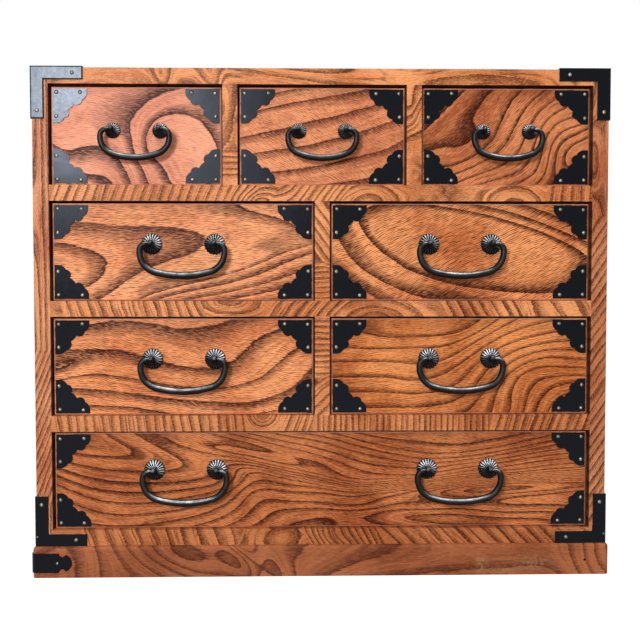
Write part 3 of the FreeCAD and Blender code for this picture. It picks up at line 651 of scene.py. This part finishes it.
# ------------------------------------------------------------------ surfaces

def woven(rows, columns, shut=False):
    """The quads of a grid of points whose columns run round, and its rows too where shut."""
    row, column = np.meshgrid(
        np.arange(rows if shut else rows - 1), np.arange(columns), indexing="ij")
    below, beside = (row + 1) % rows, (column + 1) % columns
    return np.stack([row * columns + column, row * columns + beside,
                     below * columns + beside, below * columns + column], -1).reshape(-1, 4)


def outward(vertices, quads, triangles):
    """The same faces, turned over where the skin's signed volume comes out negative."""
    fan = np.vstack([quads[:, [0, 1, 2]], quads[:, [0, 2, 3]], triangles])
    a, b, c = (vertices[fan[:, i]] for i in range(3))
    if np.einsum("ij,ij->i", a, np.cross(b, c)).sum() < 0:
        return quads[:, ::-1], triangles[:, ::-1]
    return quads, triangles


def closed(points, rub_and_highlight):
    """A closed skin from rows x columns x 3 points in mm, and how bright each point is painted, for
    wear and painted highlights.

    The columns run round, and the first and last rows shrink to one point each.
    """
    rows, columns = points.shape[:2]
    vertices = np.vstack([points[1:-1].reshape(-1, 3), points[0].mean(0), points[-1].mean(0)]) * MM
    quads = woven(rows - 2, columns)
    column = np.arange(columns)
    beside = (column + 1) % columns
    first, last = len(vertices) - 2, len(vertices) - 1
    base = (rows - 3) * columns
    caps = np.vstack([np.stack([beside, column, np.full(columns, first)], -1),
                      np.stack([base + column, base + beside, np.full(columns, last)], -1)])
    values = np.concatenate([rub_and_highlight[1:-1].ravel(), [rub_and_highlight[0].mean(), rub_and_highlight[-1].mean()]])
    return vertices, *outward(vertices, quads, caps), values


def piece(name, skins, finish, body, replaces=()):
    """One object from several skins of (vertices, quads, triangles, painted wear and highlight),
    riding on a body.
    """
    vertices, quads, triangles, pale_marks = [], [], [], []
    count = 0
    for skin, four_sided, three_sided, rub_and_highlight in skins:
        vertices.append(skin)
        quads.append(four_sided + count)
        triangles.append(three_sided + count)
        pale_marks.append(rub_and_highlight)
        count += len(skin)
    faces = np.vstack(quads).tolist() + np.vstack(triangles).tolist()
    mesh = bpy.data.meshes.new(name)
    mesh.from_pydata(np.vstack(vertices).tolist(), [], faces)
    mesh.attributes.new("rub_and_highlight", "FLOAT", "POINT").data.foreach_set(
        "value", np.concatenate(pale_marks).astype(np.float32))
    mesh.polygons.foreach_set("use_smooth", np.full(len(faces), True))
    mesh.materials.append(finish.material)
    mesh.update()
    made = bpy.data.objects.new(name, mesh)
    bpy.context.scene.collection.objects.link(made)
    if replaces:
        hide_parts(*replaces)
    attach(made, body)


def rounded_power(angle, power):
    """A superellipse: cos and sin of the angle, each to a power that keeps its sign."""
    c, s = np.cos(angle), np.sin(angle)
    return np.sign(c) * np.abs(c) ** power, np.sign(s) * np.abs(s) ** power


def ring_skin(centre, outer, inner, width):
    """A round-edged eye about X: a superellipse section swept round the axis.

    The section reaches from the inner to the outer radius, and half the width each way.
    """
    about = np.linspace(0, 2 * np.pi, 40, endpoint=False)[:, None]
    section = np.linspace(0, 2 * np.pi, 20, endpoint=False)[None, :]
    u, v = rounded_power(section, 0.55)
    radius = (outer + inner) / 2 + (outer - inner) / 2 * v
    x = centre[0] + width / 2 * u + 0 * about
    y = centre[1] + radius * np.cos(about)
    z = centre[2] + radius * np.sin(about)
    points = np.stack([x, y, z], -1)
    vertices = points.reshape(-1, 3) * MM
    faces = outward(vertices, woven(*points.shape[:2], shut=True), np.zeros((0, 3), int))
    # A painted highlight on the upper outer side of the eye.
    rub_and_highlight = 0.25 * np.clip(np.sin(about), 0, 1) * np.clip(v, 0, 1) + 0 * x
    return vertices, *faces, rub_and_highlight.ravel()


def rose_skin(x, z, face, radius, height):
    """A chrysanthemum boss: a dome of rounded petals with sharp valleys between them.

    With r from 0 to 1, the dome is height * sqrt(1 - (0.94 r)^2) over a short skirt, and
    each petal p = 1 - |2 frac - 1|^2.2 is cut down by a valley that widens with r.
    """
    turn = np.linspace(0, 2 * np.pi, PETALS * 12, endpoint=False)[None, :]
    r = np.concatenate([[0.0], np.linspace(0.05, 0.9, 16), [0.95, 0.985, 1.0]])[:, None]
    petal = 1 - np.abs(2 * ((turn * PETALS / (2 * np.pi)) % 1) - 1) ** 2.2
    dome = np.sqrt(1 - (0.94 * r) ** 2)
    valley = 0.125 * radius * np.sin(np.clip(r, 0, 1) * 1.9)
    lift = np.maximum(height * dome - valley * (1 - petal), 0.25)
    reach = radius * r * (1 - 0.07 * (1 - petal) * r)
    rim, flat = reach[-1:], np.zeros_like(reach[-1:])
    reach = np.vstack([reach, rim, flat])
    lift = np.vstack([lift, flat, flat])
    points = np.stack([x + reach * np.cos(turn), face - lift, z + reach * np.sin(turn)], -1)
    # A painted highlight on the ridges of the upper petals, where light falls from above.
    lit = np.clip(np.sin(turn + 0.35) * 0.95 + 0.34, 0.05, 1) * np.clip(r * 2.4 - 0.5, 0, 1)
    rub_and_highlight = np.clip(petal - 0.45, 0, 1) * 1.9 * lit * np.clip((1.06 - r) * 5, 0, 1)
    rub_and_highlight = np.vstack([rub_and_highlight, rub_and_highlight[-1:] * 0, rub_and_highlight[-1:] * 0])
    return closed(points, rub_and_highlight)


def bar_skin(start, end, half_wide, half_tall, steps=6):
    """A squarish bar with eased edges from start to end, along Y or Z.

    Its section is a superellipse that shrinks to a point at both ends.
    """
    start, end = np.array(start, float), np.array(end, float)
    axis = (end - start) / np.linalg.norm(end - start)
    side = np.array([1.0, 0.0, 0.0])
    other = np.cross(axis, side)
    angle = np.linspace(0, 2 * np.pi, 24, endpoint=False)
    u, v = rounded_power(angle, 0.4)
    t = np.concatenate([[0, 0, 0.03], np.linspace(0.1, 0.9, steps), [0.97, 1, 1]])
    swell = np.concatenate([[0, 0.85, 1], np.ones(steps), [1, 0.85, 0]])
    points = (start + (end - start) * t[:, None, None]
              + swell[:, None, None] * (half_wide * u[None, :, None] * side
                                        + half_tall * v[None, :, None] * other))
    return closed(points, np.full(points.shape[:2], 0.1))


def bail_skin(x, y, z, kind):
    """A round bar carried along the handle's line: bottom arc, side arcs, cheeks, curls, pins.

    The line lies in one XZ plane. Its radius swells from the pins to the bottom, and a painted
    highlight lies along a narrow line on the front of its upper side, where light falls from above.
    """
    k = HANDLES[kind]
    w, side, drop, start = k["half_width"], k["side"], k["drop"], k["start"]
    c = w - start
    low = -(c + k["cheek"])
    reach, depth = w - side, drop + low
    wide = (reach ** 2 + depth ** 2 - side ** 2) / (2 * (depth - side))
    wide_z = wide - drop
    slope = math.atan2(low - wide_z, reach)

    def arc(cx, cz, radius, a, b, n):
        t = np.linspace(a, b, n)
        return np.stack([cx + radius * np.cos(t), cz + radius * np.sin(t)], -1)

    half = np.vstack([
        arc(0, wide_z, wide, -math.pi / 2, slope, 34),
        arc(reach, low, side, slope, 0, 26)[1:],
        arc(w - c, -c, c, 0, math.pi / 2, 22),
        np.stack([np.linspace(start, k["tip"], 8), np.zeros(8)], -1)[1:],
    ])
    line = np.vstack([half[:0:-1] * [-1, 1], half])
    steps = np.r_[0, np.cumsum(np.hypot(*np.diff(line, axis=0).T))]
    from_middle = np.abs(steps - steps[-1] / 2)
    total = steps[-1] / 2
    pin = start - k["tip"]
    knots = [0, total * 0.35, total * 0.62, total - pin - c * 1.2, total - pin - 0.2,
             total - pin + k["shoulder"], total]
    radii = [k["bar"] * 1.06, k["bar"] * 1.02, k["bar"] * 0.95, k["bar"] * 0.86, k["bar"] * 0.76,
             PIN, PIN]
    radius = np.interp(from_middle, knots, radii)
    soft = np.array([0.25, 0.5, 0.25])
    radius[1:-1] = np.convolve(radius, soft, "valid")
    tangent = np.gradient(line, axis=0)
    tangent /= np.linalg.norm(tangent, axis=1, keepdims=True)
    across = np.stack([-tangent[:, 1], tangent[:, 0]], -1)
    turn = np.linspace(0, 2 * np.pi, 28, endpoint=False)[None, :]
    s = steps[:, None]
    # Hammer work: the bar is a little out of round, in a slow pattern along its length.
    hammer = 1 + 0.016 * np.sin(s * 0.55 + 2 * turn) + 0.012 * np.sin(s * 0.21 - 3 * turn + x)
    r = radius[:, None] * hammer
    points = np.stack([
        x + line[:, :1] + r * np.cos(turn) * across[:, :1],
        y + r * np.sin(turn),
        z + line[:, 1:] + r * np.cos(turn) * across[:, 1:]], -1)
    # Painted highlight: points facing up and to the front are painted bright, and a little brightness
    # lies over the whole upper front.
    facing = (np.cos(turn) * across[:, 1:] * 0.66 - np.sin(turn) * 0.74
              + np.cos(turn) * across[:, :1] * 0.12)
    rub_and_highlight = np.clip((facing - 0.88) / 0.12, 0, 1) ** 1.2 + 0.06 * np.clip(facing, 0, 1) ** 2
    points = np.concatenate([points[:1], points, points[-1:]])
    rub_and_highlight = np.concatenate([rub_and_highlight[:1], rub_and_highlight, rub_and_highlight[-1:]])
    return closed(points, rub_and_highlight)


def nail_skin(x, y, z, radius, axis=(0, -1, 0)):
    """A domed nail head on (x, y, z): rings whose radius grows as they sink along the axis."""
    axis = np.array(axis, float)
    side = np.cross(axis, [0.0, 0.0, 1.0] if abs(axis[2]) < 0.5 else [1.0, 0.0, 0.0])
    up = np.cross(axis, side)
    angle = np.linspace(0, 2 * np.pi, 12, endpoint=False)[None, :, None]
    out = np.array([0.0, 0.42, 0.76, 0.95, 1.0, 0.0])[:, None, None]
    lift = np.array([1.0, 0.90, 0.62, 0.30, 0.0, 0.0])[:, None, None]
    centre = np.array([x, y, z])
    points = (centre + radius * out * (np.cos(angle) * side + np.sin(angle) * up)
              + radius * 0.62 * lift * axis)
    rub_and_highlight = np.clip(lift[..., 0] * 1.2 - 0.2, 0, 1) * np.ones((1, 12))
    return closed(points, rub_and_highlight)


# ------------------------------------------------------------------ handles and nails

PETALS = 20
PIN = 1.5             # radius of a bail's ends, which turn in the eyes
# In mm: the spacing of the posts; a bail's half width, drop, straight cheeks, radius of side
# arcs and radius of bar; a rose's radius and rise; where a bail's pins start and tip, from its
# middle, and how far in they are thinned at their shoulder.
HANDLES = {
    "small": {"spacing": 39.0, "half_width": 28.1, "drop": 23.2, "cheek": 1.2, "side": 14.0,
              "bar": 2.6, "rose": 6.6, "rise": 3.3, "start": 22.6, "tip": 18.9, "shoulder": 1.2},
    "large": {"spacing": 52.0, "half_width": 34.7, "drop": 26.2, "cheek": 1.2, "side": 17.0,
              "bar": 2.85, "rose": 8.8, "rise": 4.3, "start": 29.1, "tip": 25.4, "shoulder": 1.2},
}
POST = 3.2            # width of an eye post
EYE = (3.3, 1.85)     # outer and hole radius of its eye
SHANK = 1.5           # half its shank's thickness
LEG = (0.8, 9.0)      # where a clenched leg starts and ends from the shank's middle
LEG_HALF = 0.55       # half a leg's thickness
NAIL = 1.75           # radius of a nail head
# A plate's nails, from its corner: one near it and one towards the end of each arm.
PLATE_NAILS = ((3.2, 3.2), (22.6, 2.9), (2.9, 22.6))

iron = forged_iron("worn_black_iron", (14, 15, 17), (186, 188, 187))
rose_iron = forged_iron("rosette_iron", (9, 10, 13), (236, 238, 242))
nail_iron = forged_iron("nail_iron", (78, 76, 68), (150, 146, 130))
plate_black = black_plate("black_lacquered_iron")


def bounds_mm(node):
    """A CAD node's least and greatest corners, in mm."""
    low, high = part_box(node)
    return np.array(low) / MM, np.array(high) / MM


def dress_drawer(name, kind, handles):
    """The rosettes, posts, bails and nails of one drawer; handles are (name, x) in mm."""
    low, high = bounds_mm(name + "_drawer_front")
    face, inside = low[1], high[1] + LEG_HALF + 0.05
    k = HANDLES[kind]
    mounts = []
    for handle, x in handles:
        bail_low, bail_high = bounds_mm(handle + "_bail")
        y = (bail_low[1] + bail_high[1]) / 2
        z = bail_low[2] + k["drop"] + k["bar"]
        for side in (-1, 1):
            post = x + side * k["spacing"] / 2
            mounts.append(rose_skin(post, z, face, k["rose"], k["rise"]))
            mounts.append(ring_skin((post, y, z), EYE[0], EYE[1], POST))
            mounts.append(bar_skin((post, y + EYE[0] - 0.6, z), (post, inside, z), SHANK, SHANK))
            for way in (-1, 1):
                start, end = ((post, inside, z + way * reach) for reach in LEG)
                mounts.append(bar_skin(start, end, SHANK, LEG_HALF))
        piece(handle + "_forged_bail", [bail_skin(x, y, z, kind)], iron, handle + "_handle",
              replaces=[handle + "_bail"])
    piece(name + "_rosettes", mounts, rose_iron, name + "_drawer",
          replaces=[name + "_handle_mounts"])

    # Three nails hold each plate, each a little off its place.
    plates = bounds_mm(name + "_corner_plates")
    heads = []
    for right in (0, 1):
        for upper in (0, 1):
            for a, b in PLATE_NAILS:
                slip = rng.normal(0, 0.18, 2)
                heads.append(nail_skin(plates[right][0] + (1 - 2 * right) * a + slip[0], plates[0][1],
                                       plates[upper][2] + (1 - 2 * upper) * b + slip[1], NAIL))
    piece(name + "_plate_nails", heads, nail_iron, name + "_drawer")


DRAWERS = {
    "top_left": "small", "top_middle": "small", "top_right": "small",
    "upper_left": "large", "upper_right": "large",
    "lower_left": "large", "lower_right": "large", "bottom": "large",
}
for name, kind in DRAWERS.items():
    low, high = bounds_mm(name + "_drawer_front")
    middle = (low[0] + high[0]) / 2
    if name == "bottom":
        handles = [("bottom_left", -114.0), ("bottom_right", 114.0)]
    else:
        handles = [(name, middle)]
    dress_drawer(name, kind, handles)

# The corner irons' nails, the same on both sides, in mm: (x, z, radius) on the front, heights
# on the side returns and x on the top one. Those on the returns stand behind the front.
FRONT_NAILS = ((204.0, 415.6, NAIL), (232.6, 385.0, NAIL), (232.6, 60.8, NAIL),
               (204.5, 31.2, NAIL), (236.4, 33.8, 0.9))
SIDE_NAILS = (412.0, 385.0, 60.0, 33.0)
TOP_NAIL = 203.0
RETURN_NAIL_DEPTH = 8.0
RETURN_NAIL = 1.4
bracket_low, bracket_high = bounds_mm("corner_brackets")
front = bracket_low[1]
heads = [nail_skin(side * x, front, z, radius) for side in (-1, 1) for x, z, radius in FRONT_NAILS]
strap_low, strap_high = bounds_mm("plinth_strap")
heads.append(nail_skin(-219.6, strap_low[1], (strap_low[2] + strap_high[2]) / 2, 1.2))
for side in (-1, 1):
    behind = front + RETURN_NAIL_DEPTH
    for z in SIDE_NAILS:
        heads.append(nail_skin(side * abs(bracket_low[0]), behind, z, RETURN_NAIL, (side, 0, 0)))
    heads.append(nail_skin(side * TOP_NAIL, behind, bracket_high[2], RETURN_NAIL, (0, 0, 1)))
piece("corner_iron_nails", heads, nail_iron, "case")


# ------------------------------------------------------------------ finishes on the CAD pieces

for name in DRAWERS:
    keyaki(name + "_keyaki", FIGURES[name], TONES[name]).wear_to(name + "_drawer_front")
drawer_wood = kiri("kiri_drawer_sides", TONES["kiri"], "Y")
drawer_wood.wear_to(*[name + "_drawer_box" for name in DRAWERS])
back_wood = kiri("cedar_inside", TONES["inside"], "X")
back_wood.wear_to("case_back", "upper_shelf", "middle_shelf", "lower_shelf", "top_row_dividers",
                  "centre_dividers")
plate_black.wear_to("plinth_strap", *[name + "_corner_plates" for name in DRAWERS])
keyaki("side_left_keyaki", FIGURES["side_left"], TONES["case"]).wear_to("case_left_side")
keyaki("side_right_keyaki", FIGURES["side_right"], TONES["case"]).wear_to("case_right_side")
# The bottom board's fingers show on the sides, so it wears what the top board does.
keyaki("top_keyaki", FIGURES["top"], TONES["case"]).wear_to("case_top", "case_bottom")
inset = (236.5, 419.5)    # just inside the case's outer faces, mm
keyaki("stile_keyaki", FIGURES["stiles"], TONES["stiles"], inset=inset).wear_to("stile_facings")
keyaki("rail_keyaki", FIGURES["rails"], TONES["rails"], inset=inset).wear_to("rail_facings")
keyaki("divider_keyaki", FIGURES["dividers"], TONES["rails"],
       inset=inset).wear_to("divider_facings")
# Rubbed spots (x, z, reach x, reach z in mm) and the nail hole of a strap that has gone.
PLINTH_SCUFFS = [(133.0, 9.0, 5.0, 8.0), (176.0, 10.0, 16.0, 6.0), (150.0, 4.0, 10.0, 3.0)]
keyaki("plinth_keyaki", FIGURES["plinth"], TONES["plinth"], gloss=0.46, scuffs=PLINTH_SCUFFS,
       hole=(220.0, 12.3)).wear_to("plinth_front")
keyaki("plinth_side_keyaki", FIGURES["plinth_sides"], TONES["plinth"],
       gloss=0.46).wear_to("plinth_returns")
black_plate("corner_irons", (238.0, 421.0, 26.0, 10.8, 42.5)).wear_to("corner_brackets")


# ------------------------------------------------------------------ floor, light and camera

def seen_itself(shading):
    """1 for rays from the camera, mirrors and glass, which see a pale studio, and else 0."""
    rays = shading.node("ShaderNodeLightPath").outputs
    return (Value(shading, rays["Is Camera Ray"]) + Value(shading, rays["Is Glossy Ray"])
            + Value(shading, rays["Is Transmission Ray"])).at_most(1.0)


def soft_box(name, place, target, size, power, colour):
    """A rectangular lamp at a place, aimed at a target, in metres and watts."""
    light = bpy.data.lights.new(name, "AREA")
    light.shape = "RECTANGLE"
    light.size, light.size_y = size
    light.energy = power
    light.color = colour
    made = bpy.data.objects.new(name, light)
    made.location = place
    aim = np.array(target) - np.array(place)
    made.rotation_euler = Vector(aim).to_track_quat("-Z", "Y").to_euler()
    bpy.context.scene.collection.objects.link(made)


FLOOR_REACH = 6.0
floor = bpy.data.objects.new("floor", bpy.data.meshes.new("floor"))
turn = np.linspace(0, 2 * np.pi, 96, endpoint=False)
rim = np.stack([np.cos(turn) * FLOOR_REACH, np.sin(turn) * FLOOR_REACH, turn * 0], -1)
floor.data.from_pydata(rim.tolist(), [], [list(range(len(turn)))])
bpy.context.scene.collection.objects.link(floor)
pale = Finish("pale_floor", Roughness=0.9, Specular_IOR_Level=0.1, Emission_Strength=1.0)
direct = seen_itself(pale)
pale.feed(pale.shader.inputs["Base Color"],
          pale.mix(direct, (0.42, 0.42, 0.42, 1.0), (0.34, 0.34, 0.34, 1.0)))
pale.feed(pale.shader.inputs["Emission Color"],
          pale.mix(direct, (0.0, 0.0, 0.0, 1.0), (0.86, 0.86, 0.86, 1.0)))
floor.data.materials.append(pale.material)

world = bpy.data.worlds.new("studio")
bpy.context.scene.world = world
world.use_nodes = True
studio = Shading(world.node_tree)
studio.feed(studio.tree.nodes["Background"].inputs["Color"],
            studio.mix(seen_itself(studio), (0.30, 0.31, 0.33, 1.0), (1.0, 1.0, 1.0, 1.0)))

# The window and the sky round it stand up to the left, where the upper left irons mirror them.
window_aim = (-0.05, -0.15, 0.25)
soft_box("window_light", (-0.62, -2.1, 0.78), window_aim, (0.34, 0.27), 27.0, (0.88, 0.94, 1.0))
soft_box("sky_light", (-0.52, -2.15, 0.70), window_aim, (0.85, 0.65), 9.0, (0.90, 0.95, 1.0))
soft_box("top_light", (0.1, -0.9, 1.9), (0.0, -0.1, 0.2), (1.6, 0.9), 14.0, (1.0, 0.98, 0.95))

camera_data = bpy.data.cameras.new("camera")
camera_data.sensor_width = 36.0
camera_data.lens = 54.9
camera = bpy.data.objects.new("camera", camera_data)
camera.location = (-0.0208, -0.9559, 0.2472)
camera.rotation_euler = [math.radians(a) for a in (87.62, 0.02, -1.34)]
bpy.context.scene.collection.objects.link(camera)
bpy.context.scene.camera = camera
bpy.context.scene.view_settings.view_transform = "Standard"
